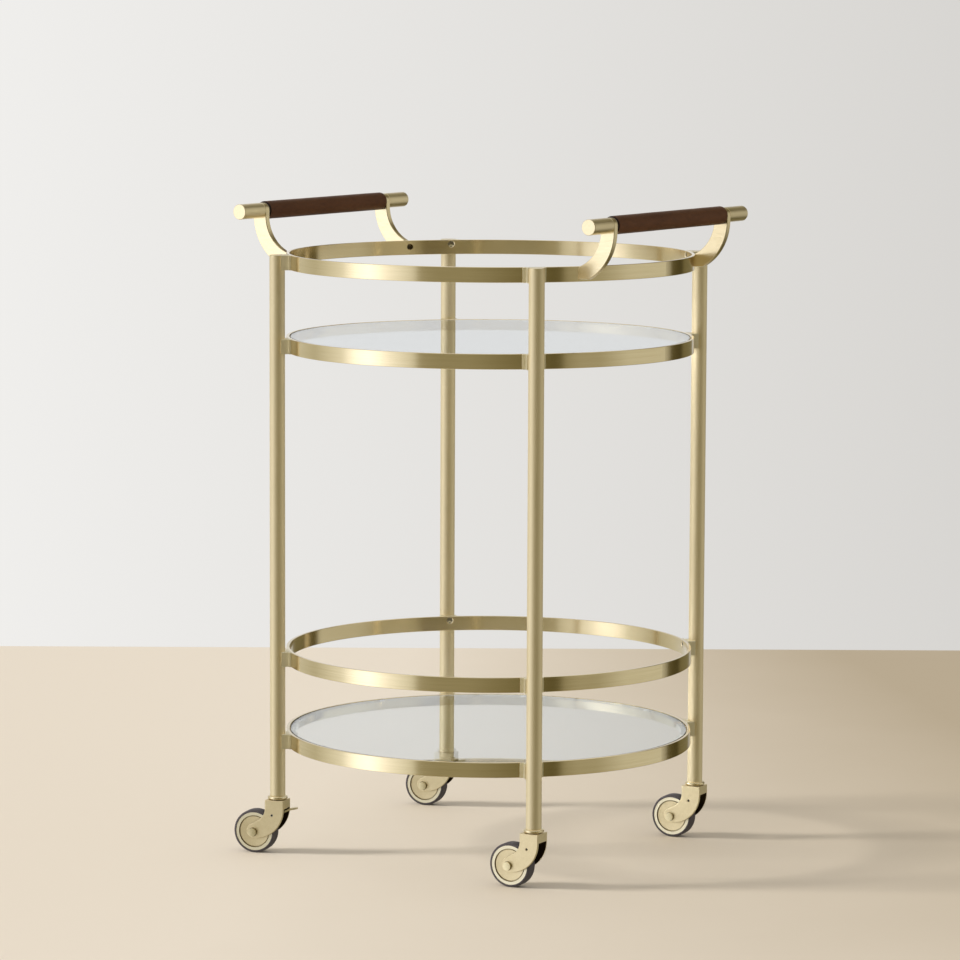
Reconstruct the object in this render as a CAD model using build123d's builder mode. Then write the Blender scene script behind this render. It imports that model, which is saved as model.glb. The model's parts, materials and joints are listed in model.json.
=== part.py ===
from build123d import *
from math import acos, asin, atan2, cos, degrees, radians, sin, sqrt
import os

# Round serving cart: +X towards the front handle, +Y left, +Z up, origin on the floor under the centre.

# hoops
ring_outer_r = 254.0
ring_wall = 4.0
ring_height = 18.5
ring_edge = 0.4
lower_shelf_top = 151.5
upper_shelf_top = 645.0
gallery_rise = 103.5
ledge_width = 8.0
ledge_height = 7.0
ledge_gap_width = 14.0

# glass and its bumpers
glass_thickness = 5.0
glass_recess = 0.3
glass_gap = 1.2
glass_bevel = 0.5
pad_r = 3.4
pad_thickness = 1.0
pad_count = 8

# legs
leg_standoff = 14.4
leg_r = 9.5
leg_wall = 1.5
cap_head = 1.0
cap_edge = 0.4
cap_plug = 12.0
anchor_height = 14.0
insert_depth = 32.0

# saddle blocks between hoop and leg: a thin foot on the hoop and a neck out to the tube
block_foot_width = 28.4
block_foot = 2.0
block_neck_width = 21.0
block_setback = 3.4
block_edge = 0.5

# ring screws
screw_drop = 5.4
screw_r = 2.5
screw_head_r = 4.0
screw_sink = 0.6
screw_angle = 90.0
screw_length = 19.0
socket_width = 3.0
socket_depth = 1.5
screw_tip = 0.6

# handles
bar_outset = 1.0
bar_rise = 49.9
bar_r = 9.5
bar_bore_r = 5.0
bracket_y = 132.8
bracket_thickness = 8.0
bracket_bend_drop = 6.4
bracket_bend_r = 56.5
bracket_foot_drop = 15.3
bracket_edge = 0.6
grip_r = 11.2
grip_end_gap = 0.5
grip_edge = 1.0
finial_length = 42.8
finial_edge = 0.5
stud_reach = 20.0
bracket_screw_drop = 8.3
bracket_screw_r = 2.0
bracket_screw_head_r = 3.5
bracket_screw_head = 1.0
bracket_screw_sink = 1.2
bracket_screw_reach = 9.0
bracket_screw_recess = 2.1
bracket_recess_gap = 0.5
bracket_socket_width = 2.5

# casters, measured from the stem: forward along the lead direction, up from the floor
fork_top = 68.2
fork_width = 25.0
fork_plate = 2.5
fork_front = 12.0
fork_back = -12.8
bridge_bottom = 57.5
sweep_centre = (-26.0, 57.3)
tail_centre = (-28.0, 28.35)
heel_centre = (-30.4, 57.6)
fork_edge = 0.9
wheel_r = 27.0
wheel_trail = 28.5
tyre_width = 17.0
tyre_shoulder = 2.5
tyre_inner_r = 24.0
rim_inner_r = 20.2
rim_setback = 0.5
groove_width = 1.4
groove_depth = 1.8
face_half = 7.0
web_half = 6.4
web_draft = 0.5
boss_r = 8.0
hub_face_gap = 0.4
axle_r = 3.0
rivet_r = 5.0
rivet_height = 3.4
rivet_dome = 0.2
stem_r = 4.0
bead_r = 12.5
bead_lift = 0.9
bead_height = 3.9
bead_bulge = 1.5
stem_stud = 28.0
washer_r = 9.0
stem_head_r = 6.5
stem_head = 1.8

# brake on the two rear casters
brake_pin = (-3.3, 49.4)
brake_pin_r = 1.6
brake_pin_bore_r = 1.1
brake_pin_proud = 0.3
lever_barrel_r = 3.6
lever_barrel_half = 9.5
lever_cam_r = 6.3
lever_cam_offset = 4.0
lever_press = 25.0
lever_thickness = 2.0
lever_tip = (26.6, 58.3)
lever_knee = (17.7, 56.6)
lever_root = (9.5, 52.6)
lever_width = 15.0
lever_tip_width = 9.0

# fits
assembly_gap = 0.05
running_gap = 0.08
screw_hole_gap = 0.1
edge_reach = 0.01

# derived sizes
ring_inner_r = ring_outer_r - ring_wall
leg_circle_r = ring_outer_r + leg_standoff
ledge_inner_r = ring_inner_r - ledge_width
glass_r = ring_inner_r - glass_gap
glass_drop = glass_recess + glass_thickness
ledge_drop = glass_drop + pad_thickness
upper_gallery_top = upper_shelf_top + gallery_rise
lower_gallery_top = lower_shelf_top + gallery_rise
bead_bottom = fork_top + bead_lift
leg_bottom = bead_bottom + bead_height
bore_r = leg_r - leg_wall
plug_r = bore_r - assembly_gap
block_outer = leg_circle_r - block_setback
bar_x = ring_outer_r + bar_outset
bar_z = upper_gallery_top + bar_rise
bracket_bend_z = bar_z - bracket_bend_drop
bracket_foot_z = upper_gallery_top - bracket_foot_drop
bracket_screw_z = upper_gallery_top - bracket_screw_drop
bracket_inner_y = bracket_y - bracket_thickness / 2
bracket_outer_y = bracket_y + bracket_thickness / 2
grip_half = bracket_inner_y - grip_end_gap
finial_end_y = bracket_outer_y + finial_length
fork_gap = fork_width - 2 * fork_plate
hub_half = fork_gap / 2 - hub_face_gap
tyre_half = tyre_width / 2
screw_reach = screw_sink + screw_length + 2 * assembly_gap
bracket_seat_x = sqrt(ring_inner_r ** 2 - bracket_y ** 2)

# corners: leg angle, and the angle of each caster's lead direction from +X
corners = {
    "front_right": (-45.0, 5.5),
    "front_left": (45.0, 7.5),
    "rear_left": (135.0, 12.0),
    "rear_right": (225.0, 15.0),
}
leg_angles = [leg_angle for leg_angle, _ in corners.values()]
braked = ("rear_left", "rear_right")
ends = {"front": 1, "rear": -1}
sides = {"left": 1, "right": -1}
rings = {
    "upper_gallery": (upper_gallery_top, False),
    "upper_shelf": (upper_shelf_top, True),
    "lower_gallery": (lower_gallery_top, False),
    "lower_shelf": (lower_shelf_top, True),
}


def save(part, name):
    part.label = name
    export_step(part, f"parts/{name}.step")


def radial_plane(angle, radius, height, inward=False):
    """Plane across a radius of the cart, its normal pointing out or in."""
    outward = Vector(cos(radians(angle)), sin(radians(angle)), 0)
    return Plane(
        origin=outward * radius + Vector(0, 0, height),
        x_dir=(0, 0, 1),
        z_dir=-outward if inward else outward,
    )


def leg_centre(angle, height):
    return Vector(leg_circle_r * cos(radians(angle)), leg_circle_r * sin(radians(angle)), height)


def screw_seats(top, inward=False):
    """Planes in front of each leg: looking in on the hoop's inside, or out from the sunk screw heads."""
    seat_r = ring_inner_r if inward else ring_inner_r + screw_sink + assembly_gap
    return [radial_plane(angle, seat_r, top - screw_drop, inward) for angle in leg_angles]


def bracket_seats(x, inward=False):
    """Planes square to X where the four bracket screws cross the upper hoop."""
    return [
        Plane(
            origin=(end * x, side * bracket_y, bracket_screw_z),
            x_dir=(0, 0, 1),
            z_dir=(-end if inward else end, 0, 0),
        )
        for end in ends.values()
        for side in sides.values()
    ]


def build_ring(name, top, has_ledge):
    bottom = top - ring_height
    with BuildPart() as ring:
        with BuildSketch(Plane.XZ):
            with Locations(((ring_inner_r + ring_outer_r) / 2, top - ring_height / 2)):
                band = Rectangle(ring_wall, ring_height)
            chamfer(band.vertices(), ring_edge)
        revolve(axis=Axis.Z)
        if has_ledge:
            with BuildSketch(Plane.XY.offset(top - ledge_drop)):
                Circle(ring_inner_r + ring_wall / 2)
                Circle(ledge_inner_r, mode=Mode.SUBTRACT)
                with PolarLocations(ledge_inner_r, len(leg_angles), start_angle=leg_angles[0]):
                    Rectangle(4 * ledge_width, ledge_gap_width, mode=Mode.SUBTRACT)
            extrude(amount=-ledge_height)
        with Locations(*screw_seats(top, inward=True)):
            CounterSinkHole(
                screw_r + screw_hole_gap,
                screw_head_r + screw_sink + screw_hole_gap,
                depth=2 * ring_wall,
                counter_sink_angle=screw_angle,
            )
        if name == "upper_gallery":
            start = bracket_seat_x - 2 * bracket_screw_recess
            with Locations(*bracket_seats(start, inward=True)):
                CounterBoreHole(
                    bracket_screw_r + screw_hole_gap,
                    bracket_screw_head_r + bracket_recess_gap,
                    counter_bore_depth=2 * bracket_screw_recess + bracket_screw_sink,
                    depth=4 * ring_wall,
                )
    save(ring.part, f"{name}_ring")


def build_blocks(name, top):
    foot_outer = ring_outer_r + block_foot
    with BuildPart() as blocks:
        with BuildSketch(Plane.XY.offset(top - ring_height)):
            for outer, width in ((foot_outer, block_foot_width), (block_outer, block_neck_width)):
                middle = (ring_inner_r + outer) / 2
                with PolarLocations(middle, len(leg_angles), start_angle=leg_angles[0]):
                    Rectangle(outer - ring_inner_r, width)
            Circle(ring_outer_r + assembly_gap, mode=Mode.SUBTRACT)
            with PolarLocations(leg_circle_r, len(leg_angles), start_angle=leg_angles[0]):
                Circle(leg_r + assembly_gap, mode=Mode.SUBTRACT)
        extrude(amount=ring_height)
        chamfer(blocks.edges().filter_by(GeomType.LINE).filter_by(Plane.XY), block_edge)
        with Locations(*screw_seats(top, inward=True)):
            Hole(screw_r + screw_hole_gap, depth=leg_circle_r - ring_inner_r)
    save(blocks.part, f"{name}_blocks")


def build_glass(name, top):
    with BuildPart() as glass:
        with BuildSketch(Plane.XY.offset(top - glass_drop)):
            Circle(glass_r)
        extrude(amount=glass_thickness)
        chamfer(glass.edges(), glass_bevel)
    save(glass.part, f"{name}_glass")

    with BuildPart() as pads:
        with BuildSketch(Plane.XY.offset(top - ledge_drop)):
            with PolarLocations(ring_inner_r - ledge_width / 2, pad_count, start_angle=180 / pad_count):
                Circle(pad_r)
        extrude(amount=pad_thickness)
    save(pads.part, f"{name}_glass_pads")


def build_leg(name, angle):
    tube_top = upper_gallery_top - cap_head
    with BuildPart() as leg:
        with BuildSketch(Plane(origin=leg_centre(angle, leg_bottom))):
            Circle(leg_r)
            Circle(bore_r, mode=Mode.SUBTRACT)
        extrude(amount=tube_top - leg_bottom)
        for top, _ in rings.values():
            with Locations(radial_plane(angle, ring_inner_r, top - screw_drop, inward=True)):
                Hole(screw_r + screw_hole_gap, depth=leg_circle_r - ring_inner_r)
    save(leg.part, f"leg_{name}")


def build_leg_fittings():
    """Caps, anchors and stem sockets: plugs in the bores of all four legs."""
    tube_top = upper_gallery_top - cap_head
    with BuildPart() as caps:
        with BuildSketch(Plane.XY.offset(tube_top - cap_plug)):
            with PolarLocations(leg_circle_r, len(leg_angles), start_angle=leg_angles[0]):
                Circle(plug_r)
        extrude(amount=cap_plug)
        with BuildSketch(Plane.XY.offset(tube_top)):
            with PolarLocations(leg_circle_r, len(leg_angles), start_angle=leg_angles[0]):
                Circle(leg_r)
        extrude(amount=cap_head)
        chamfer(caps.edges().group_by(Axis.Z)[-1], cap_edge)
        with Locations(*screw_seats(upper_gallery_top, inward=True)):
            Hole(screw_r + assembly_gap, depth=screw_reach)
    save(caps.part, "leg_caps")

    with BuildPart() as anchors:
        for name, (top, _) in rings.items():
            if name == "upper_gallery":
                continue
            with BuildSketch(Plane.XY.offset(top - screw_drop - anchor_height / 2)):
                with PolarLocations(leg_circle_r, len(leg_angles), start_angle=leg_angles[0]):
                    Circle(plug_r)
            extrude(amount=anchor_height)
            with Locations(*screw_seats(top, inward=True)):
                Hole(screw_r + assembly_gap, depth=screw_reach)
    save(anchors.part, "leg_anchors")

    with BuildPart() as inserts:
        with BuildSketch(Plane.XY.offset(leg_bottom)):
            with PolarLocations(leg_circle_r, len(leg_angles), start_angle=leg_angles[0]):
                Circle(plug_r)
                Circle(stem_r + assembly_gap, mode=Mode.SUBTRACT)
        extrude(amount=insert_depth)
    save(inserts.part, "leg_inserts")


def build_ring_screws():
    neck = screw_head_r - screw_r
    with BuildPart() as screw:
        with BuildSketch(Plane.XZ):
            with BuildLine():
                Polyline(
                    (0, 0),
                    (screw_head_r, 0),
                    (screw_r, neck),
                    (screw_r, screw_length - screw_tip),
                    (screw_r - screw_tip, screw_length),
                    (0, screw_length),
                    close=True,
                )
            make_face()
        revolve(axis=Axis.Z)
        with BuildSketch(Plane.XY):
            RegularPolygon(socket_width / 2, 6, major_radius=False)
        extrude(amount=socket_depth, mode=Mode.SUBTRACT)
    with BuildPart() as screws:
        for top, _ in rings.values():
            with Locations(*screw_seats(top)):
                add(screw.part)
    save(screws.part, "ring_screws")


def build_bracket_screws():
    with BuildPart() as screw:
        with BuildSketch(Plane.XY):
            Circle(bracket_screw_head_r)
        extrude(amount=-bracket_screw_head)
        chamfer(screw.edges().group_by(Axis.Z)[0], bracket_screw_head / 4)
        with BuildSketch(Plane.XY):
            Circle(bracket_screw_r)
        extrude(amount=bracket_screw_reach)
        with BuildSketch(Plane.XY.offset(-bracket_screw_head)):
            RegularPolygon(bracket_socket_width / 2, 6, major_radius=False)
        extrude(amount=bracket_screw_head / 2, mode=Mode.SUBTRACT)
    with BuildPart() as screws:
        with Locations(*bracket_seats(bracket_seat_x + bracket_screw_sink - assembly_gap)):
            add(screw.part)
    save(screws.part, "bracket_screws")


def build_bracket(name, end, side):
    """Flat bar that rises from the hoop and bends up round the end of the handle bar."""
    side_plane = Plane(origin=(0, side * bracket_y, 0), x_dir=(end, 0, 0), z_dir=(0, -end, 0))
    bend_x = bar_x - bracket_bend_r
    outer_r = bracket_bend_r + bar_r
    inner_r = bracket_bend_r - bar_r
    foot_angle = degrees(asin((bracket_bend_z - bracket_foot_z) / outer_r))
    root_angle = degrees(acos((bracket_seat_x - bend_x) / inner_r))
    with BuildPart() as bracket:
        with BuildSketch(side_plane):
            with BuildLine():
                crown = CenterArc((bar_x, bar_z), bar_r, 0, 180)
                inner_side = Line(crown @ 1, (bar_x - bar_r, bracket_bend_z))
                inner_bend = CenterArc((bend_x, bracket_bend_z), inner_r, 0, -root_angle)
                outer_bend = CenterArc((bend_x, bracket_bend_z), outer_r, -foot_angle, foot_angle)
                Polyline(inner_bend @ 1, (bracket_seat_x, bracket_foot_z), outer_bend @ 0)
                Line(outer_bend @ 1, crown @ 0)
            make_face()
        extrude(amount=bracket_thickness / 2, both=True)
        chamfer(
            bracket.edges().group_by(Axis.Y)[0] + bracket.edges().group_by(Axis.Y)[-1], bracket_edge
        )
        with BuildSketch(side_plane):
            with Locations((bar_x, bar_z)):
                Circle(bar_bore_r + assembly_gap)
        extrude(amount=bracket_thickness / 2, both=True, mode=Mode.SUBTRACT)
        with BuildSketch(Plane.XY.offset(bracket_foot_z)):
            Circle(ring_outer_r + assembly_gap)
        extrude(amount=ring_height, mode=Mode.SUBTRACT)
        with Locations(*bracket_seats(bracket_seat_x, inward=True)):
            Hole(bracket_screw_r + assembly_gap, depth=bracket_screw_sink + bracket_screw_reach)
    save(bracket.part, f"handle_bracket_{name}")


def build_handle(name, end):
    """Bar core, leather sleeve and the two bar ends of one handle."""
    middle = Plane(origin=(end * bar_x, 0, bar_z), x_dir=(end, 0, 0), z_dir=(0, 1, 0))
    with BuildPart() as core:
        with BuildSketch(middle):
            Circle(bar_r)
            Circle(bar_bore_r + assembly_gap, mode=Mode.SUBTRACT)
        extrude(amount=bracket_inner_y, both=True)
    save(core.part, f"handle_core_{name}")

    with BuildPart() as grip:
        with BuildSketch(middle):
            Circle(grip_r)
        extrude(amount=grip_half, both=True)
        fillet(grip.edges(), grip_edge)
        with BuildSketch(middle):
            Circle(bar_r + assembly_gap)
        extrude(amount=grip_half, both=True, mode=Mode.SUBTRACT)
    save(grip.part, f"grip_{name}")

    with BuildPart() as finials:
        with BuildSketch(middle.offset(bracket_outer_y), middle.offset(-finial_end_y)):
            Circle(bar_r)
        extrude(amount=finial_end_y - bracket_outer_y)
        chamfer(
            finials.edges().group_by(Axis.Y)[0] + finials.edges().group_by(Axis.Y)[-1], finial_edge
        )
        with BuildSketch(middle.offset(bracket_inner_y - stud_reach), middle.offset(-bracket_outer_y)):
            Circle(bar_bore_r)
        extrude(amount=stud_reach + bracket_thickness)
    save(finials.part, f"finials_{name}")


class Corner:
    """Working planes of one caster, turned to its own heading."""

    def __init__(self, leg_angle, heading):
        self.foot = leg_centre(leg_angle, 0)
        self.lead = Vector(cos(radians(heading)), sin(radians(heading)), 0)
        self.across = Vector(0, 0, 1).cross(self.lead)
        self.level = Plane(origin=self.foot, x_dir=self.lead, z_dir=(0, 0, 1))
        self.upright = Plane(origin=self.foot, x_dir=self.lead, z_dir=-self.across)
        self.axle = self.foot - self.lead * wheel_trail + Vector(0, 0, wheel_r)
        self.lathe = Plane(origin=self.axle, x_dir=self.across, z_dir=self.lead)
        self.lathe_axis = Axis(self.axle, self.across)


def tangent_bearing(upper, upper_r, lower, lower_r):
    """Bearing of the normal to the line that runs under one circle and over the other."""
    run = Vector(*upper) - Vector(*lower)
    return degrees(atan2(run.Y, run.X) + acos((upper_r + lower_r) / run.length))


def build_fork(name, corner):
    """Pressed fork: two cheeks swept back to the axle, joined over the top and at the front."""
    keel = Vector(*tail_centre) - Vector(*sweep_centre)
    keel_bearing = degrees(atan2(keel.Y, keel.X))
    sweep_r = fork_front - sweep_centre[0]
    tail_r = sweep_r - keel.length
    heel_r = fork_back - heel_centre[0]
    bearing = tangent_bearing(heel_centre, heel_r, tail_centre, tail_r)
    with BuildPart() as fork:
        with BuildSketch(corner.upright):
            with BuildLine():
                sweep = CenterArc(sweep_centre, sweep_r, 0, keel_bearing)
                tail = CenterArc(tail_centre, tail_r, keel_bearing, bearing - 360 - keel_bearing)
                heel = CenterArc(heel_centre, heel_r, bearing - 180, 180 - bearing)
                Line(tail @ 1, heel @ 0)
                Polyline(heel @ 1, (fork_back, fork_top), (fork_front, fork_top), sweep @ 0)
            make_face()
        extrude(amount=fork_width / 2, both=True)
        across = Axis(corner.foot, corner.across)
        for half in (-fork_width / 2, fork_width / 2):
            fillet(fork.edges().filter_by_position(across, half - edge_reach, half + edge_reach), fork_edge)
        with BuildSketch(corner.upright):
            with BuildLine():
                Polyline(
                    (fork_front - fork_plate, bridge_bottom),
                    (2 * fork_front, bridge_bottom),
                    (2 * fork_front, 0),
                    (-2 * wheel_trail, 0),
                    (-2 * wheel_trail, fork_top - fork_plate),
                    (fork_front - fork_plate, fork_top - fork_plate),
                    close=True,
                )
            make_face()
        extrude(amount=fork_gap / 2, both=True, mode=Mode.SUBTRACT)
        with BuildSketch(corner.level.offset(fork_top)):
            Circle(stem_r + running_gap)
        extrude(amount=-fork_plate, mode=Mode.SUBTRACT)
        with BuildSketch(corner.upright):
            with Locations((-wheel_trail, wheel_r)):
                Circle(axle_r + assembly_gap)
            with Locations(brake_pin):
                Circle(brake_pin_r + assembly_gap)
        extrude(amount=fork_width / 2, both=True, mode=Mode.SUBTRACT)
    save(fork.part, f"fork_{name}")


def build_stem(name, corner):
    """Turned stem: threaded stud, bead collar, plain pin and the head that holds the fork."""
    head_top = fork_top - fork_plate - running_gap
    head_bottom = head_top - stem_head
    bead_middle = (leg_bottom + bead_bottom) / 2
    with BuildPart() as stem:
        with BuildSketch(corner.upright):
            with BuildLine():
                bead = ThreePointArc(
                    (bead_r - bead_bulge, bead_bottom),
                    (bead_r, bead_middle),
                    (bead_r - bead_bulge, leg_bottom),
                )
                Polyline(
                    bead @ 1,
                    (stem_r, leg_bottom),
                    (stem_r, leg_bottom + stem_stud),
                    (0, leg_bottom + stem_stud),
                    (0, head_bottom),
                    (stem_head_r, head_bottom),
                    (stem_head_r, head_top),
                    (stem_r, head_top),
                    (stem_r, bead_bottom),
                    bead @ 0,
                )
            make_face()
        revolve(axis=Axis(corner.foot, (0, 0, 1)))
    save(stem.part, f"caster_stem_{name}")

    with BuildPart() as washer:
        with BuildSketch(corner.level.offset(fork_top + running_gap)):
            Circle(washer_r)
            Circle(stem_r + running_gap, mode=Mode.SUBTRACT)
        extrude(amount=bead_bottom - fork_top - 2 * running_gap)
    save(washer.part, f"thrust_washer_{name}")


def build_axle(name, corner):
    """Plain pin with a domed rivet head outside each cheek."""
    half = fork_width / 2
    rim = half + rivet_height - rivet_dome
    with BuildPart() as axle:
        with BuildSketch(corner.lathe):
            with BuildLine():
                Polyline((0, 0), (0, axle_r), (half, axle_r), (half, rivet_r), (rim, rivet_r))
                dome = SagittaArc((rim, rivet_r), (rim, -rivet_r), rivet_dome, mode=Mode.PRIVATE)
                crown = ThreePointArc(dome @ 0, dome @ 0.25, dome @ 0.5)
                Line(crown @ 1, (0, 0))
            make_face()
        revolve(axis=corner.lathe_axis)
        mirror(about=corner.upright)
    save(axle.part, f"axle_{name}")


def build_wheel(name, corner):
    """Dished centre with a grooved rim, and the rubber tyre pressed over it."""
    bore = axle_r + running_gap
    seat_half = tyre_half - rim_setback
    face_r = rim_inner_r - groove_width
    groove_floor = face_half - groove_depth
    with BuildPart() as hub:
        with BuildSketch(corner.lathe):
            with BuildLine():
                Polyline(
                    (0, bore),
                    (hub_half, bore),
                    (hub_half, boss_r),
                    (web_half, boss_r + web_draft),
                    (face_half, face_r),
                    (groove_floor, face_r),
                    (groove_floor, rim_inner_r),
                    (seat_half, rim_inner_r),
                    (seat_half, tyre_inner_r),
                    (0, tyre_inner_r),
                )
                mirror(about=Plane.YZ)
            make_face()
        revolve(axis=corner.lathe_axis)
    save(hub.part, f"wheel_hub_{name}")

    with BuildPart() as tyre:
        with BuildSketch(corner.lathe):
            with Locations((0, (wheel_r + tyre_inner_r + assembly_gap) / 2)):
                band = Rectangle(tyre_width, wheel_r - tyre_inner_r - assembly_gap)
            fillet(band.vertices().group_by(Axis.Y)[-1], tyre_shoulder)
        revolve(axis=corner.lathe_axis)
    save(tyre.part, f"tyre_{name}")


def build_brake(name, corner):
    """Pressed tab with a rolled barrel and a cam that swings onto the tyre."""
    with BuildPart() as pin:
        with BuildSketch(corner.upright):
            with Locations(brake_pin):
                Circle(brake_pin_r)
                Circle(brake_pin_bore_r, mode=Mode.SUBTRACT)
        extrude(amount=fork_width / 2 + brake_pin_proud, both=True)
    save(pin.part, f"brake_pin_{name}")

    to_axle = Vector(-wheel_trail, wheel_r) - Vector(*brake_pin)
    cam_bearing = atan2(to_axle.Y, to_axle.X) + radians(lever_press)
    cam_tip_r = lever_cam_r - lever_cam_offset
    cam_centre = Vector(*brake_pin) + Vector(cos(cam_bearing), sin(cam_bearing)) * lever_cam_offset
    with BuildPart() as lever:
        with BuildSketch(corner.upright):
            with BuildLine():
                Line(brake_pin, lever_root)
                Spline(lever_root, lever_knee, lever_tip)
            trace(line_width=lever_thickness)
        extrude(amount=lever_width / 2, both=True)
        with BuildSketch(corner.level):
            with Locations((brake_pin[0], 0)):
                Rectangle(2 * (fork_front - brake_pin[0]), lever_width)
            with Locations((lever_tip[0] - lever_tip_width / 2, 0)):
                Circle(lever_tip_width / 2)
            make_hull()
        extrude(amount=fork_top, mode=Mode.INTERSECT)
        with BuildSketch(corner.upright):
            with Locations(brake_pin):
                Circle(lever_barrel_r)
        extrude(amount=lever_barrel_half, both=True)
        with BuildSketch(corner.upright):
            with Locations(brake_pin):
                Circle(lever_barrel_r)
            with Locations(cam_centre):
                Circle(cam_tip_r)
            make_hull()
        extrude(amount=tyre_half, both=True)
        with BuildSketch(corner.upright):
            with Locations(brake_pin):
                Circle(brake_pin_r + running_gap)
        extrude(amount=lever_barrel_half, both=True, mode=Mode.SUBTRACT)
    save(lever.part, f"brake_lever_{name}")


os.makedirs("parts", exist_ok=True)

for ring_name, (ring_top, ledged) in rings.items():
    build_ring(ring_name, ring_top, ledged)
    build_blocks(ring_name, ring_top)

build_glass("upper", upper_shelf_top)
build_glass("lower", lower_shelf_top)
build_leg_fittings()
build_ring_screws()
build_bracket_screws()

for end_name, end_sign in ends.items():
    build_handle(end_name, end_sign)
    for side_name, side_sign in sides.items():
        build_bracket(f"{end_name}_{side_name}", end_sign, side_sign)

for corner_name, (leg_angle, heading) in corners.items():
    build_leg(corner_name, leg_angle)
    caster = Corner(leg_angle, heading)
    build_fork(corner_name, caster)
    build_stem(corner_name, caster)
    build_axle(corner_name, caster)
    build_wheel(corner_name, caster)
    if corner_name in braked:
        build_brake(corner_name, caster)
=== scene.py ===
import json
import math
import bpy
import bmesh
from mathutils import Matrix, Vector


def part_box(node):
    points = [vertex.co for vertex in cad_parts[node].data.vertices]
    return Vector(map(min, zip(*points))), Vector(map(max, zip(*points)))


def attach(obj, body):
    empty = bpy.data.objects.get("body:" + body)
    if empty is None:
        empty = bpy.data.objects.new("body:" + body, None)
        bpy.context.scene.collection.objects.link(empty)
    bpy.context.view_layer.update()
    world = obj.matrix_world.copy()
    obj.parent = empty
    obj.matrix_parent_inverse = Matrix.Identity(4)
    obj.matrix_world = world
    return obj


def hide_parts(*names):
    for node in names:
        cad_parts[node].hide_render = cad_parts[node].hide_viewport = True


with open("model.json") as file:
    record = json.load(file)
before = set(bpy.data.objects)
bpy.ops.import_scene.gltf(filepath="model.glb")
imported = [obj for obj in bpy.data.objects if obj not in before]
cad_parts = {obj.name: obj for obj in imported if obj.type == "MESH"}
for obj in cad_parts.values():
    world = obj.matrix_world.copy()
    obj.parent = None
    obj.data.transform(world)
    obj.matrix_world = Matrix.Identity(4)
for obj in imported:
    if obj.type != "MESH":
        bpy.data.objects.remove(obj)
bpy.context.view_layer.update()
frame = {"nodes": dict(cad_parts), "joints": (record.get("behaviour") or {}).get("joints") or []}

nodes = frame["nodes"]
levels = ("upper_gallery", "upper_shelf", "lower_gallery", "lower_shelf")
corners = ("front_right", "front_left", "rear_left", "rear_right")
bpy.ops.object.select_all(action="DESELECT")
print("cart frame loaded:", len(nodes), "nodes")


class Wire:  # one output of a node tree, used in sums like a number
    def __init__(self, board, socket):
        self.board = board
        self.socket = socket

    def __add__(self, other): return self.board.maths("ADD", self, other)
    def __radd__(self, other): return self.board.maths("ADD", other, self)
    def __sub__(self, other): return self.board.maths("SUBTRACT", self, other)
    def __rsub__(self, other): return self.board.maths("SUBTRACT", other, self)
    def __mul__(self, other): return self.board.maths("MULTIPLY", self, other)
    def __rmul__(self, other): return self.board.maths("MULTIPLY", other, self)
    def __lt__(self, other): return self.board.maths("LESS_THAN", self, other)
    def __gt__(self, other): return self.board.maths("GREATER_THAN", self, other)


class Board:  # the node tree of one finish or of the studio
    def __init__(self, tree):
        self.tree = tree

    def node(self, kind, settings=None, values=None):
        # settings first, then the sockets, each a number, a colour or a Wire; gives the node's outputs
        made = self.tree.nodes.new(kind)
        for key, value in (settings or {}).items():
            if key == "stops":
                self.fillRamp(made.color_ramp, value)
            else:
                setattr(made, key, value)
        self.feed(made, values or {})
        return [Wire(self, out) for out in made.outputs]

    def feed(self, node, values):
        for key, value in values.items():
            socket = node.inputs[key]
            if isinstance(value, Wire):
                self.tree.links.new(value.socket, socket)
            else:
                socket.default_value = value

    def fillRamp(self, ramp, stops):
        ramp.elements[0].position = stops[0][0]
        ramp.elements[-1].position = stops[-1][0]
        for place, colour in stops[1:-1]:
            ramp.elements.new(place)
        for element, (place, colour) in zip(ramp.elements, stops):
            element.color = (*colour, 1.0)

    def maths(self, operation, first, second=0.0):
        return self.node("ShaderNodeMath", {"operation": operation}, {0: first, 1: second})[0]

    def split(self, place):
        return self.node("ShaderNodeSeparateXYZ", None, {0: place})

    def along(self, place, direction):
        return self.node("ShaderNodeVectorMath", {"operation": "DOT_PRODUCT"}, {0: place, 1: direction})[1]

    def blend(self, factor, first, second):
        return self.node("ShaderNodeMix", {"data_type": "RGBA"}, {0: factor, 6: first, 7: second})[2]

    def spread(self, value, low, high):
        # 0 at low, 1 at high
        return self.node("ShaderNodeMapRange", None, {0: value, 1: low, 2: high, 3: 0.0, 4: 1.0})[0]

    def grain(self, place, scale, size, detail=3.0, roughness=0.55):
        # noise on the piece's own metres, pulled out along the axes whose scale is small
        moved = self.node("ShaderNodeMapping", None, {"Vector": place, "Scale": scale})[0]
        return self.node("ShaderNodeTexNoise", None,
                         {"Vector": moved, "Scale": size, "Detail": detail, "Roughness": roughness})[0]

    def bump(self, height, distance):
        return self.node("ShaderNodeBump", None, {"Height": height, "Distance": distance})[0]

    def glow(self, colour, strength=1.0):
        return self.node("ShaderNodeBackground", None, {"Color": colour, "Strength": strength})[0]


def newFinish(name):
    finish = bpy.data.materials.new(name)
    finish.use_nodes = True
    board = Board(finish.node_tree)
    place = board.node("ShaderNodeTexCoord")[3]
    return finish, board, place


def setShader(board, values):
    board.feed(board.tree.nodes["Principled BSDF"], values)


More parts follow.
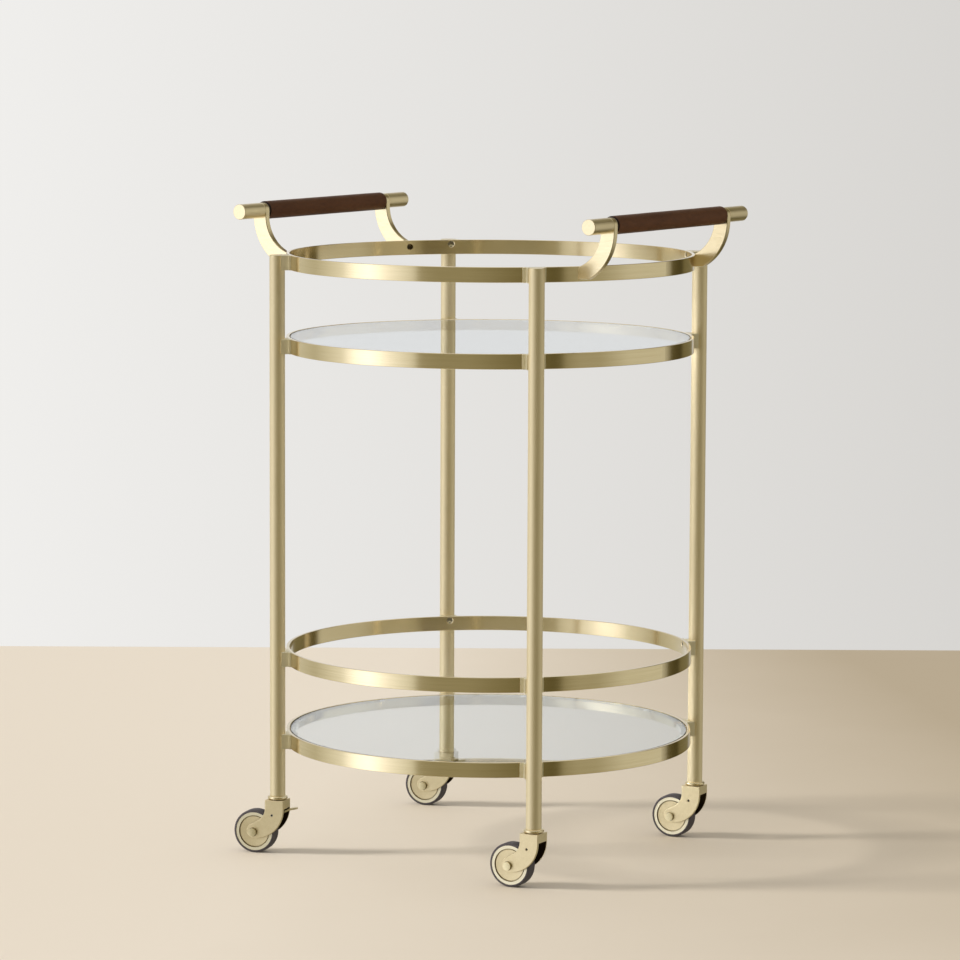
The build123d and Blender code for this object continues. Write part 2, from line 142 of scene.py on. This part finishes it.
brass = {
    "deep": (0.85, 0.72, 0.465, 1.0),
    "bright": (0.93, 0.80, 0.545, 1.0),
    "tubeBright": (1.0, 0.865, 0.60, 1.0),
    "paintedLitDeep": (0.93, 0.86, 0.67, 1.0),  # a lighter copy of the brass, painted paler so that what wears it looks lit
    "paintedLitBright": (1.0, 0.93, 0.74, 1.0),
    "rivetDeep": (0.76, 0.65, 0.41, 1.0),
    "rivetBright": (0.92, 0.81, 0.54, 1.0),
    # painted shade laid on the inner faces of the gallery hoops
    "hoopInsideShade": (0.68, 0.57, 0.355, 1.0),
    # painted shade, laid in gaps, grooves, sockets and the inside of the forks
    "shadeTone": (0.045, 0.027, 0.012, 1.0),
    "lineSize": 1500.0,      # brushed lines per metre across the grain
    "bandSize": 330.0,       # wider bands among the lines
    "smudgeSize": 14.0,
    "lineTone": 0.45,        # what each of the three counts for in the colour
    "bandTone": 0.35,
    "smudgeTone": 0.2,
    "toneFrom": 0.38,        # their sum runs from the deep tone here to the bright one there
    "toneTo": 0.62,
    "lineRough": 0.08,       # what they add to the roughness
    "smudgeRough": 0.04,
    "lineBump": 0.6,         # and to the relief
    "bandBump": 0.4,
    "depth": 0.000004,
}

# grain is the noise scale on X, Y and Z: small along the brushed lines, 1 across them
brushing = {
    "hoopBrass": {"grain": (0.012, 0.012, 1.0), "roughness": 0.18, "stretch": 0.8, "turned": 0.25},
    "galleryBrass": {"grain": (0.012, 0.012, 1.0), "roughness": 0.18, "stretch": 0.8, "turned": 0.25},
    "tubeBrass": {"grain": (1.0, 1.0, 0.012), "roughness": 0.52, "stretch": 0.6,
                  "tones": ("bright", "tubeBright")},
    "barBrass": {"grain": (1.0, 0.02, 1.0), "roughness": 0.30},
    "plateBrass": {"grain": (0.25, 0.25, 1.0), "roughness": 0.24},
    # the blocks and the screws wear the painted-lit copy of the brass
    "blockBrass": {"grain": (1.0, 1.0, 0.25), "roughness": 0.62, "tones": ("paintedLitDeep", "paintedLitBright")},
    "leverBrass": {"grain": (0.6, 0.6, 0.6), "roughness": 0.44},
    "turnedBrass": {"grain": (1.0, 1.0, 0.3), "roughness": 0.28},
    "rivetBrass": {"grain": (1.0, 1.0, 1.0), "roughness": 0.34, "tones": ("rivetDeep", "rivetBright")},
    "screwBrass": {"grain": (1.0, 1.0, 1.0), "roughness": 0.34, "tones": ("paintedLitDeep", "paintedLitBright")},
    "forkBrass": {"grain": (0.6, 0.6, 0.6), "roughness": 0.50},
    "hubBrass": {"grain": (0.6, 0.6, 0.6), "roughness": 0.50},
}


def brushedBrass(kind, marks=None, ending=""):
    # marks(board, place) gives pairs of a share and the tone that is laid over the brass at that share:
    # painted shade and painted highlights
    brushed = brushing[kind]
    finish, board, place = newFinish(kind + ending)
    lines = board.grain(place, brushed["grain"], brass["lineSize"], detail=4.0, roughness=0.6)
    bands = board.grain(place, brushed["grain"], brass["bandSize"], detail=2.0)
    smudge = board.grain(place, (1, 1, 1), brass["smudgeSize"])
    shade = lines * brass["lineTone"] + bands * brass["bandTone"] + smudge * brass["smudgeTone"]
    shade = board.spread(shade, brass["toneFrom"], brass["toneTo"])
    deep, bright = brushed.get("tones", ("deep", "bright"))
    colour = board.blend(shade, brass[deep], brass[bright])
    for share, tone in marks(board, place) if marks else []:
        colour = board.blend(share, colour, brass[tone])
    steady = brushed["roughness"] - (brass["lineRough"] + brass["smudgeRough"]) / 2
    setShader(board, {
        "Base Color": colour,
        "Metallic": 1.0,
        "Roughness": steady + lines * brass["lineRough"] + smudge * brass["smudgeRough"],
        "Anisotropic": brushed.get("stretch", 0.0),
        "Anisotropic Rotation": brushed.get("turned", 0.0),
        "Normal": board.bump(lines * brass["lineBump"] + bands * brass["bandBump"], brass["depth"]),
    })
    return finish


gallery = {
    "inside": 0.2503,        # a gallery hoop's inner face is painted darker inside this radius, a painted shade
    "insideShadeShare": 0.4,
}


def galleryBrass():
    def inside(board, place):
        x, y = board.split(place)[:2]
        # painted shade: the inner faces are darkened in their colour
        return [((x * x + y * y < gallery["inside"] ** 2) * gallery["insideShadeShare"], "hoopInsideShade")]

    return brushedBrass("galleryBrass", inside)


def fromAxle(board, place, corner):
    # distance along the wheel's axle from its middle, and the square of the distance out from it
    roll = next(joint for joint in frame["joints"] if joint["name"] == "roll_" + corner)
    axis, centre = Vector(roll["axis"]), Vector(roll["pos_m"])
    offset = board.node("ShaderNodeVectorMath", {"operation": "SUBTRACT"}, {0: place, 1: centre})[0]
    across = board.along(offset, axis)
    return across, board.along(offset, offset) - across * across


fork = {
    "cheekInside": 0.0102,   # half the room between the cheeks, whose inner sides are painted dark, a painted shade
    "bridgeUnder": 0.0573,   # underside of the front bridge
    "rivetShadeReach": 0.0056,    # reach of the painted shadow round the rivet
    "rivetShadeShare": 0.7,
}


def forkBrass(corner):
    def shadeMarks(board, place):
        across, out = fromAxle(board, place, corner)
        height = board.split(place)[2]
        # painted shade on the cheeks' inner sides under the bridge, and a painted shadow round the rivet
        # head
        inside = (across * across < fork["cheekInside"] ** 2) * (height < fork["bridgeUnder"])
        rivetShade = (out < fork["rivetShadeReach"] ** 2) * fork["rivetShadeShare"]
        return [(inside + (1 - inside) * rivetShade, "shadeTone")]

    return brushedBrass("forkBrass", shadeMarks, "_" + corner)


hub = {
    "rimInside": 0.0203,     # the turned rim next to the tyre is painted paler, a painted highlight
    "rimPaintedShare": 0.8,
    "grooveInside": 0.0187,  # a groove runs round inside it, painted darker as painted shade
    "grooveShadeShare": 0.3,
}


def hubBrass(corner):
    def rings(board, place):
        out = fromAxle(board, place, corner)[1]
        rim = out > hub["rimInside"] ** 2
        groove = (out > hub["grooveInside"] ** 2) * (1 - rim)
        # painted highlight on the rim, painted shade in the groove
        return [(rim * hub["rimPaintedShare"], "paintedLitBright"), (groove * hub["grooveShadeShare"], "shadeTone")]

    return brushedBrass("hubBrass", rings, "_" + corner)


screw = {
    "socket": 0.0013,        # painted shade in the hexagon socket, inside this radius
    "socketShadeShare": 0.9,
    "rim": 0.0034,           # and a painted shadow round the head's edge, outside this one
    "rimPaintedShare": 0.7,
}


def screwBrass():
    # the countersunk screws lie on the diagonals of the hoops
    def shadeMarks(board, place):
        x, y, z = board.split(place)
        aside = (x * x + y * y) * 0.5 - board.maths("ABSOLUTE", x * y)
        rise = 1.0
        for level in levels:
            low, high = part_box(level + "_ring")
            gap = z - (low.z + high.z) / 2
            rise = board.maths("MINIMUM", gap * gap, rise)
        out = aside + rise
        # painted shade in the socket and a painted shadow round the head's edge
        inSocket = (out < screw["socket"] ** 2) * screw["socketShadeShare"]
        return [(inSocket + (out > screw["rim"] ** 2) * screw["rimPaintedShare"], "shadeTone")]

    return brushedBrass("screwBrass", shadeMarks)


# smooth and rough are the roughness between the specks and on them
speckles = {
    "platedSteel": {"dark": (0.42, 0.40, 0.36, 1.0), "light": (0.60, 0.58, 0.54, 1.0), "metal": 1.0,
                    "size": 900.0, "detail": 3.0, "depth": 0.00001, "smooth": 0.32, "rough": 0.44},
    "darkScrew": {"dark": (0.045, 0.032, 0.015, 1.0), "light": (0.10, 0.075, 0.04, 1.0), "metal": 1.0,
                  "size": 1200.0, "detail": 3.0, "depth": 0.00001, "smooth": 0.38, "rough": 0.50},
    "clearBumper": {"dark": (0.72, 0.72, 0.70, 1.0), "light": (0.82, 0.82, 0.80, 1.0), "metal": 0.0,
                    "size": 700.0, "detail": 2.0, "depth": 0.00003, "smooth": 0.35, "rough": 0.50},
}


def speckled(kind):
    chosen = speckles[kind]
    finish, board, place = newFinish(kind)
    speck = board.grain(place, (1, 1, 1), chosen["size"], chosen["detail"])
    setShader(board, {
        "Base Color": board.blend(speck, chosen["dark"], chosen["light"]),
        "Metallic": chosen["metal"],
        "Roughness": chosen["smooth"] + speck * (chosen["rough"] - chosen["smooth"]),
        "Normal": board.bump(speck, chosen["depth"]),
    })
    return finish


glass = {
    "tint": (0.86, 0.925, 0.975, 1.0),
    "clear": (0.89, 0.95, 0.99, 1.0),
    "smearSize": 9.0,        # faint wiping marks, longer along Y
    "smearGrain": (1.0, 0.35, 1.0),
    "smearRough": 0.012,
    "bending": 1.5,          # index of refraction
}


def shelfGlass():
    finish, board, place = newFinish("shelfGlass")
    smear = board.grain(place, glass["smearGrain"], glass["smearSize"], detail=4.0)
    setShader(board, {
        "Base Color": board.blend(smear, glass["tint"], glass["clear"]),
        "Roughness": smear * glass["smearRough"],
        "IOR": glass["bending"],
        "Transmission Weight": 1.0,
    })
    return finish


rubber = {
    "dark": (0.046, 0.037, 0.042, 1.0),
    "dusty": (0.090, 0.078, 0.082, 1.0),
    "dustSize": 220.0,
    "pitSize": 2600.0,
    "roughness": 0.50,
    "dustRough": 0.2,
    "pitBump": 0.6,
    "dustBump": 0.4,
    "depth": 0.00006,
}


def tyreRubber():
    finish, board, place = newFinish("tyreRubber")
    dust = board.grain(place, (1, 1, 1), rubber["dustSize"], detail=5.0)
    pits = board.grain(place, (1, 1, 1), rubber["pitSize"], detail=2.0)
    setShader(board, {
        "Base Color": board.blend(dust, rubber["dark"], rubber["dusty"]),
        "Roughness": rubber["roughness"] + dust * rubber["dustRough"],
        "Normal": board.bump(pits * rubber["pitBump"] + dust * rubber["dustBump"], rubber["depth"]),
    })
    return finish


def dress(finish, names):
    for name in names:
        mesh = nodes[name].data
        mesh.materials.clear()
        mesh.materials.append(finish)


def named(*starts):
    return [name for name in nodes if name.startswith(starts)]


dress(brushedBrass("hoopBrass"), ["upper_shelf_ring", "lower_shelf_ring"])
dress(galleryBrass(), ["upper_gallery_ring", "lower_gallery_ring"])
dress(brushedBrass("blockBrass"), [level + "_blocks" for level in levels])
dress(brushedBrass("plateBrass"), named("handle_bracket_"))
dress(brushedBrass("barBrass"), ["finials_front", "finials_rear", "leg_caps"])
dress(brushedBrass("tubeBrass"), ["leg_" + corner for corner in corners])
for corner in corners:
    dress(forkBrass(corner), ["fork_" + corner])
    dress(hubBrass(corner), ["wheel_hub_" + corner])
dress(brushedBrass("turnedBrass"), named("caster_stem_"))
dress(brushedBrass("rivetBrass"), named("axle_"))
dress(brushedBrass("leverBrass"), named("brake_lever_"))
dress(screwBrass(), ["ring_screws"])
dress(speckled("darkScrew"), ["bracket_screws"])
dress(speckled("platedSteel"),
      ["leg_anchors", "leg_inserts"] + named("handle_core_", "thrust_washer_", "brake_pin_"))
dress(speckled("clearBumper"), ["upper_glass_pads", "lower_glass_pads"])
dress(tyreRubber(), named("tyre_"))
dress(shelfGlass(), ["upper_glass", "lower_glass"])
for pane in ("upper_glass", "lower_glass"):
    nodes[pane].visible_shadow = False  # a clear pane hardly darkens what lies under it
    nodes[pane].visible_diffuse = False
print("finishes laid on the cart's metal, glass and rubber")


grip = {
    "sides": 96,
    "cuts": 48,              # rings along the sleeve
    "endRound": 0.0022,      # turned-in edge at each end
    "endSteps": 5,
    "bore": 0.0090,
    "seamAngle": -67.5,      # degrees up from level, a whole number of sides
    "seamHalf": 0.0005,
    "seamDepth": 0.00045,
    "skin": 0.98,            # points further out than this part of the radius are on the outside
    "onSeam": 0.99999,       # cosine of the angle within which a point is on the seam's line
    "near": 0.00001,         # points this near to a place are at it
    "wander": 0.00022,       # unevenness of a hand-wrapped sleeve
    "wanderSize": 0.03,
    "smoothUnder": 40,       # edges bent by less than these degrees look round
    "stitchPitch": 0.0048,
    "stitchHalf": 0.0013,    # reach of a stitch to each side of the seam
    "stitchRadius": 0.00030,
    "stitchSides": 8,
    "stitchSlant": 32.0,
    "stitchSteps": 6,
    "stitchArch": 0.00022,
    "stitchSmoothUnder": 60,
}


def gripPlace(end):
    # middle, radius and half length of a sleeve, and the way that its seam faces
    low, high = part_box("grip_" + end)
    angle = math.radians(grip["seamAngle"])
    outward = Vector((math.cos(angle), 0, math.sin(angle)))
    return (low + high) / 2, (high.z - low.z) / 2, (high.y - low.y) / 2, outward


leather = {
    "dark": (0.055, 0.0170, 0.0042, 1.0),
    "light": (0.112, 0.040, 0.0115, 1.0),
    "edge": (0.016, 0.006, 0.0025, 1.0),
    "shadedEnds": 0.0016,      # the ends are painted dark, a painted shadow where the sleeve meets the parts beside it
    "poreSize": 1100.0,
    "poreWall": 0.22,        # how wide a pore's slope is, as a part of the pore
    "creaseSize": 340.0,     # creases and rubbed places run along the sleeve
    "creaseGrain": (1.0, 0.35, 1.0),
    "rubbedSize": 26.0,
    "rubbedGrain": (1.0, 0.4, 1.0),
    "creaseTone": 0.5,       # what each of the three counts for in the colour
    "rubbedTone": 0.4,
    "poreTone": 0.1,
    "toneFrom": 0.34,
    "toneTo": 0.66,
    "roughness": 0.56,
    "rubbedShine": 0.2,
    "poreRough": 0.06,
    "gloss": 0.22,
    "poreBump": 0.55,
    "creaseBump": 0.9,
    "depth": 0.00005,
}


def gripLeather():
    finish, board, place = newFinish("gripLeather")
    fromEdge = board.node("ShaderNodeTexVoronoi", {"feature": "DISTANCE_TO_EDGE"},
                          {"Vector": place, "Scale": leather["poreSize"]})[0]
    pore = board.spread(fromEdge, 0.0, leather["poreWall"])
    crease = board.grain(place, leather["creaseGrain"], leather["creaseSize"], detail=5.0, roughness=0.62)
    rubbed = board.grain(place, leather["rubbedGrain"], leather["rubbedSize"])
    shade = crease * leather["creaseTone"] + rubbed * leather["rubbedTone"] + pore * leather["poreTone"]
    shade = board.spread(shade, leather["toneFrom"], leather["toneTo"])
    colour = board.blend(shade, leather["dark"], leather["light"])
    middle, outer, half = gripPlace("front")[:3]  # both sleeves lie alike along Y
    fromMiddle = board.split(place)[1] - middle.y
    # painted shadow: both ends of the sleeve are darkened in its colour
    body = fromMiddle * fromMiddle < (half - leather["shadedEnds"]) ** 2
    setShader(board, {
        "Base Color": board.blend(body, leather["edge"], colour),
        "Roughness": leather["roughness"] - rubbed * leather["rubbedShine"] + pore * leather["poreRough"],
        "Specular IOR Level": leather["gloss"],
        "Normal": board.bump(pore * leather["poreBump"] + crease * leather["creaseBump"], leather["depth"]),
    })
    return finish


thread = {
    "dark": (0.020, 0.010, 0.007, 1.0),
    "light": (0.060, 0.028, 0.018, 1.0),
    "twistSize": 900.0,
    "twistWander": 1.0,
    "roughness": 0.6,
    "depth": 0.00005,
}


def waxedThread():
    finish, board, place = newFinish("waxedThread")
    twist = board.node("ShaderNodeTexWave", {"wave_type": "BANDS", "bands_direction": "DIAGONAL"},
                       {"Vector": place, "Scale": thread["twistSize"],
                        "Distortion": thread["twistWander"]})[1]
    setShader(board, {
        "Base Color": board.blend(twist, thread["dark"], thread["light"]),
        "Roughness": thread["roughness"],
        "Normal": board.bump(twist, thread["depth"]),
    })
    return finish


def pick(piece, kind, wanted):
    # in edit mode, leaves selected only the points, edges or faces that are wanted
    bpy.ops.mesh.select_mode(type=kind)
    bpy.ops.mesh.select_all(action="DESELECT")
    mesh = bmesh.from_edit_mesh(piece.data)
    parts = {"VERT": mesh.verts, "EDGE": mesh.edges, "FACE": mesh.faces}[kind]
    for part in parts:
        if wanted(part):
            part.select_set(True)
    bmesh.update_edit_mesh(piece.data)


def applyAll(piece):
    bpy.context.view_layer.objects.active = piece
    for modifier in list(piece.modifiers):
        bpy.ops.object.modifier_apply(modifier=modifier.name)


def wrapGrip(end):
    middle, outer, half, outward = gripPlace(end)

    def atEnd(point):
        return abs(point.co.y - middle.y) > half - grip["near"]

    def onSeam(point):
        arm = Vector((point.co.x - middle.x, 0, point.co.z - middle.z))
        return arm.length > outer * grip["skin"] and arm.normalized().dot(outward) > grip["onSeam"]

    bpy.ops.object.select_all(action="DESELECT")
    bpy.ops.mesh.primitive_cylinder_add(vertices=grip["sides"], radius=outer, depth=half * 2,
                                        location=middle, rotation=(math.pi / 2, 0, 0))
    sleeve = bpy.context.active_object
    sleeve.name = "leather_sleeve_" + end
    bpy.ops.object.transform_apply(location=True, rotation=True, scale=True)
    bpy.ops.object.mode_set(mode="EDIT")
    pick(sleeve, "EDGE", lambda edge: abs(edge.verts[0].co.y - edge.verts[1].co.y) > half)
    bpy.ops.mesh.subdivide(number_cuts=grip["cuts"])
    pick(sleeve, "EDGE", lambda edge: all(atEnd(point) for point in edge.verts))
    bpy.ops.mesh.bevel(offset=grip["endRound"], segments=grip["endSteps"], affect="EDGES")
    pick(sleeve, "FACE", lambda face: len(face.verts) == grip["sides"])
    bpy.ops.mesh.inset(thickness=outer - grip["endRound"] - grip["bore"])
    bpy.ops.mesh.delete(type="FACE")
    pick(sleeve, "EDGE", lambda edge: edge.is_boundary)
    bpy.ops.mesh.bridge_edge_loops()
    pick(sleeve, "EDGE", lambda edge: all(onSeam(point) for point in edge.verts))
    bpy.ops.mesh.bevel(offset=grip["seamHalf"], segments=2, affect="EDGES")
    pick(sleeve, "VERT", onSeam)
    bpy.ops.transform.translate(value=-outward * grip["seamDepth"])
    bpy.ops.object.mode_set(mode="OBJECT")
    return sleeve


def finishSleeve(sleeve):
    cloud = bpy.data.textures.new("sleeveWander", "CLOUDS")
    cloud.noise_scale = grip["wanderSize"]
    uneven = sleeve.modifiers.new("wander", "DISPLACE")
    uneven.texture = cloud
    uneven.strength = grip["wander"]
    applyAll(sleeve)
    bpy.ops.object.shade_smooth_by_angle(angle=math.radians(grip["smoothUnder"]))


def sewSeam(end):
    # one slanted stitch across the seam, arched so its ends sink in, then repeated along the sleeve
    middle, outer, half, outward = gripPlace(end)
    reach, steps = grip["stitchHalf"], grip["stitchSteps"]
    count = int((half - grip["endRound"] * 2) * 2 / grip["stitchPitch"])
    bpy.ops.object.select_all(action="DESELECT")
    bpy.ops.mesh.primitive_cylinder_add(vertices=grip["stitchSides"], radius=grip["stitchRadius"],
                                        depth=reach * 2)
    stitch = bpy.context.active_object
    stitch.name = "seam_stitches_" + end
    bpy.ops.object.mode_set(mode="EDIT")
    pick(stitch, "EDGE", lambda edge: abs(edge.verts[0].co.z - edge.verts[1].co.z) > reach)
    bpy.ops.mesh.subdivide(number_cuts=steps - 1)
    for step in range(steps + 1):
        level = reach * (2 * step / steps - 1)
        pick(stitch, "VERT", lambda point: abs(point.co.z - level) < grip["near"])
        bpy.ops.transform.translate(value=(grip["stitchArch"] * (1 - (level / reach) ** 2 * 2), 0, 0))
    bpy.ops.object.mode_set(mode="OBJECT")
    turnUp = Matrix.Rotation(-math.radians(grip["seamAngle"]), 4, "Y")
    slant = Matrix.Rotation(math.radians(90 - grip["stitchSlant"]), 4, "X")
    start = middle + outward * outer - Vector((0, (count - 1) * grip["stitchPitch"] / 2, 0))
    stitch.matrix_world = Matrix.Translation(start) @ turnUp @ slant
    bpy.ops.object.transform_apply(location=True, rotation=True, scale=True)
    row = stitch.modifiers.new("row", "ARRAY")
    row.use_relative_offset = False
    row.use_constant_offset = True
    row.constant_offset_displace = (0, grip["stitchPitch"], 0)
    row.count = count
    applyAll(stitch)
    bpy.ops.object.shade_smooth_by_angle(angle=math.radians(grip["stitchSmoothUnder"]))
    return stitch


sleeveFinish = gripLeather()
stitchFinish = waxedThread()
for end in ("front", "rear"):
    sleeve = wrapGrip(end)
    finishSleeve(sleeve)
    sleeve.data.materials.append(sleeveFinish)
    stitches = sewSeam(end)
    stitches.data.materials.append(stitchFinish)
    for piece in (sleeve, stitches):
        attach(piece, "frame")
    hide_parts("grip_" + end)
print("leather sleeves wrapped and sewn")


view = {
    "lens": 170.07,
    "sensor": 36.0,
    "clip": (0.1, 60.0),
    "sideways": math.radians(33.193),  # from the cart's right side round towards its front
    "distance": 5.6312,      # level distance from the cart's middle
    "height": 1.13005,
    "turn": math.radians(0.122),
    "tilt": math.radians(6.745),
    "roll": math.radians(0.245),
}


def placeCamera():
    data = bpy.data.cameras.new("viewCamera")
    data.lens = view["lens"]
    data.sensor_width = view["sensor"]
    data.clip_start, data.clip_end = view["clip"]
    camera = bpy.data.objects.new("viewCamera", data)
    bpy.context.scene.collection.objects.link(camera)
    heading = view["sideways"] + view["turn"]
    level = math.cos(view["tilt"])
    ahead = Vector((-math.sin(heading) * level, math.cos(heading) * level, -math.sin(view["tilt"])))
    right = ahead.cross(Vector((0, 0, 1))).normalized()
    up = right.cross(ahead)
    leanCos, leanSin = math.cos(view["roll"]), math.sin(view["roll"])
    across, upward = right * leanCos + up * leanSin, up * leanCos - right * leanSin
    stand = Matrix((across, upward, -ahead)).transposed().to_4x4()
    stand.translation = Vector((view["distance"] * math.sin(view["sideways"]),
                                -view["distance"] * math.cos(view["sideways"]), view["height"]))
    camera.matrix_world = stand
    bpy.context.scene.camera = camera


placeCamera()
print("camera placed")


studio = {
    "floorLeft": (0.805, 0.720, 0.604, 1.0),
    "floorRight": (0.47, 0.388, 0.273, 1.0),  # painted shade: the floor's colour dims away from the window, more so at the back
    "floorFade": (-0.15, 1.1),  # metres to the right of the cart where that starts and ends
    "floorFurther": 0.5,     # how much faster it dims for each metre further back
    "floorCloud": 2.2,       # size and strength of its faint clouds
    "floorCloudShare": 0.2,
    "floorRoughness": 0.7,
    "floorSheen": 0.2,
    "floorBehind": 1.61,     # from the cart to the end of the floor, away from the camera
    "floorFront": 7.0,
    "floorHalf": 5.0,
    "wallLeft": (0.87, 0.86, 0.84, 1.0),
    "wallRight": (0.68, 0.665, 0.64, 1.0),
    "wallFade": (-0.11, 0.11),  # sine of the turn to the right where the wall starts and ends to dim
    "fill": 0.62,
    "fillColour": (1.0, 0.985, 0.96, 1.0),
    "lampPower": 2.9,
    "lampColour": (1.0, 0.98, 0.95),
    "lampTurn": -86,         # degrees from the camera towards its right, so on its left
    "lampRise": math.radians(26),
    "lampSpread": math.radians(12),
    "lampAway": 3.0,
}

# what shiny metal sees round it, with sines of the rise where one part of the room turns into the next
room = {
    "ceiling": (0.80, 0.80, 0.78, 1.0),
    "ceilingRise": (0.60, 0.90),
    "floor": (0.50, 0.44, 0.33, 1.0),
    "floorRise": (-0.75, -0.95),
    "lowWall": (0.78, 0.78, 0.775, 1.0),  # the lit wall low behind the cart
    "lowWallRise": (0.15, 0.11),
    "lowWallTurn": (0.93, 0.97),  # cosine of the turn from straight behind
    "secondMirror": 0.55,    # how far the room dims where metal mirrors other metal
    "creamGreen": (1.02, 0.27, 3.2),  # green and blue parts of its warm light, see cream
    "creamBlue": (1.10, 1.02, 2.3),
}

# round the room: degrees from the camera towards its right, brightness, how much cream it picks up
panels = [
    (-180, 0.70, 0), (-164, 0.66, 0), (-140, 0.62, 1), (-116, 0.50, 1), (-104, 0.66, 1), (-91, 0.84, 1),
    (-87, 1.08, 1), (-79, 1.45, 0.9), (-71, 1.6, 0.7), (-63, 1.22, 1), (-58, 1.04, 1), (-51, 0.87, 1),
    (-43, 0.68, 1), (-40, 0.33, 1), (-28, 0.29, 1), (-12, 0.29, 1), (12, 0.20, 1), (24, 0.16, 1),
    (36, 0.105, 1), (40, 0.12, 1), (43, 0.30, 1), (52, 0.37, 1), (64, 0.37, 1), (84, 0.56, 1),
    (104, 0.57, 1), (119, 0.58, 1), (122, 0.10, 1), (136, 0.05, 1), (140, 0.16, 1), (156, 0.19, 1),
    (168, 0.34, 0.5), (180, 0.70, 0),
]


def cream(tone, share):
    # dim parts of the room send warmer light than the bright ones
    warm = [tone]
    for most, drop, fade in (room["creamGreen"], room["creamBlue"]):
        warm.append(tone * (most - drop * math.exp(-fade * tone)))
    return tuple(tone + (part - tone) * share for part in warm)


def away(turn):
    # level direction from the cart: 0 is towards the camera, 90 towards the camera's right
    angle = view["sideways"] - math.pi / 2 + math.radians(turn)
    return Vector((math.cos(angle), math.sin(angle), 0))


def layFloor():
    toward, right = away(0), away(90)
    points = []
    for front, side in ((1, -1), (1, 1), (0, 1), (0, -1)):
        reach = toward * studio["floorFront"] if front else toward * -studio["floorBehind"]
        points.append(reach + right * side * studio["floorHalf"])
    mesh = bpy.data.meshes.new("studioFloor")
    mesh.from_pydata(points, [], [(0, 1, 2, 3)])
    floor = bpy.data.objects.new("studioFloor", mesh)
    bpy.context.scene.collection.objects.link(floor)
    finish, board, place = newFinish("paleFloor")
    cloud = board.grain(place, (1, 1, 1), studio["floorCloud"])
    faster = board.along(place, away(180)) * studio["floorFurther"] + 1
    # painted shade across the floor, darker to the right and further back
    dimming = board.along(place, right) * faster + cloud * studio["floorCloudShare"]
    tint = board.spread(dimming, *studio["floorFade"])
    setShader(board, {
        "Base Color": board.blend(tint, studio["floorLeft"], studio["floorRight"]),
        "Roughness": studio["floorRoughness"],
        "Specular IOR Level": studio["floorSheen"],
    })
    mesh.materials.append(finish)
    floor.visible_glossy = False


def mirroredRoom(board, direction):
    # the ring of panels, closed by ceiling and floor, with the low wall behind the cart
    turned = board.node("ShaderNodeMapping", {"vector_type": "VECTOR"},
                        {"Vector": direction, "Rotation": (0, 0, math.pi / 2 - view["sideways"])})[0]
    compass = board.node("ShaderNodeTexGradient", {"gradient_type": "RADIAL"}, {"Vector": turned})[1]
    stops = [((turn + 180) / 360, cream(tone, share)) for turn, tone, share in panels]
    ring = board.node("ShaderNodeValToRGB", {"stops": stops}, {0: compass})[0]
    rise = board.split(direction)[2]
    above = board.blend(board.spread(rise, *room["ceilingRise"]), ring, room["ceiling"])
    closed = board.blend(board.spread(rise, *room["floorRise"]), above, room["floor"])
    behind = board.spread(board.along(direction, away(180)), *room["lowWallTurn"])
    low = behind * board.spread(rise, *room["lowWallRise"])
    return board.blend(low, closed, room["lowWall"])


def lightStudio():
    # the metal and the glass see the room, the rest a soft fill, and the camera the plain wall
    world = bpy.data.worlds.new("studio")
    bpy.context.scene.world = world
    world.use_nodes = True
    world.node_tree.nodes.clear()
    board = Board(world.node_tree)
    direction = board.node("ShaderNodeTexCoord")[0]
    path = board.node("ShaderNodeLightPath")
    camera, glossy, through, bounces = path[0], path[3], path[6], path[10]
    dimmed = (bounces > 1.5) * room["secondMirror"]
    mirrored = board.glow(board.blend(dimmed, mirroredRoom(board, direction), (0, 0, 0, 1)))
    dimming = board.spread(board.along(direction, away(90)), *studio["wallFade"])
    wall = board.glow(board.blend(dimming, studio["wallLeft"], studio["wallRight"]))
    fill = board.glow(studio["fillColour"], studio["fill"])
    unseen = board.node("ShaderNodeMixShader", None, {0: glossy + through, 1: fill, 2: mirrored})[0]
    seen = camera + through * (bounces < 0.5)
    around = board.node("ShaderNodeMixShader", None, {0: seen, 1: unseen, 2: wall})[0]
    board.node("ShaderNodeOutputWorld", None, {"Surface": around})


def hangLamp():
    # one broad light from the window's side, far enough off to light the whole floor alike
    data = bpy.data.lights.new("windowLight", "SUN")
    data.angle = studio["lampSpread"]
    data.energy = studio["lampPower"]
    data.color = studio["lampColour"]
    lamp = bpy.data.objects.new("windowLight", data)
    bpy.context.scene.collection.objects.link(lamp)
    rise = math.tan(studio["lampRise"])
    lamp.location = (away(studio["lampTurn"]) + Vector((0, 0, rise))) * studio["lampAway"]
    lamp.rotation_euler = (-lamp.location).to_track_quat("-Z", "Y").to_euler()
    lamp.visible_glossy = False


layFloor()
lightStudio()
hangLamp()
bpy.context.scene.view_settings.view_transform = "Standard"
print("floor laid and lights set")
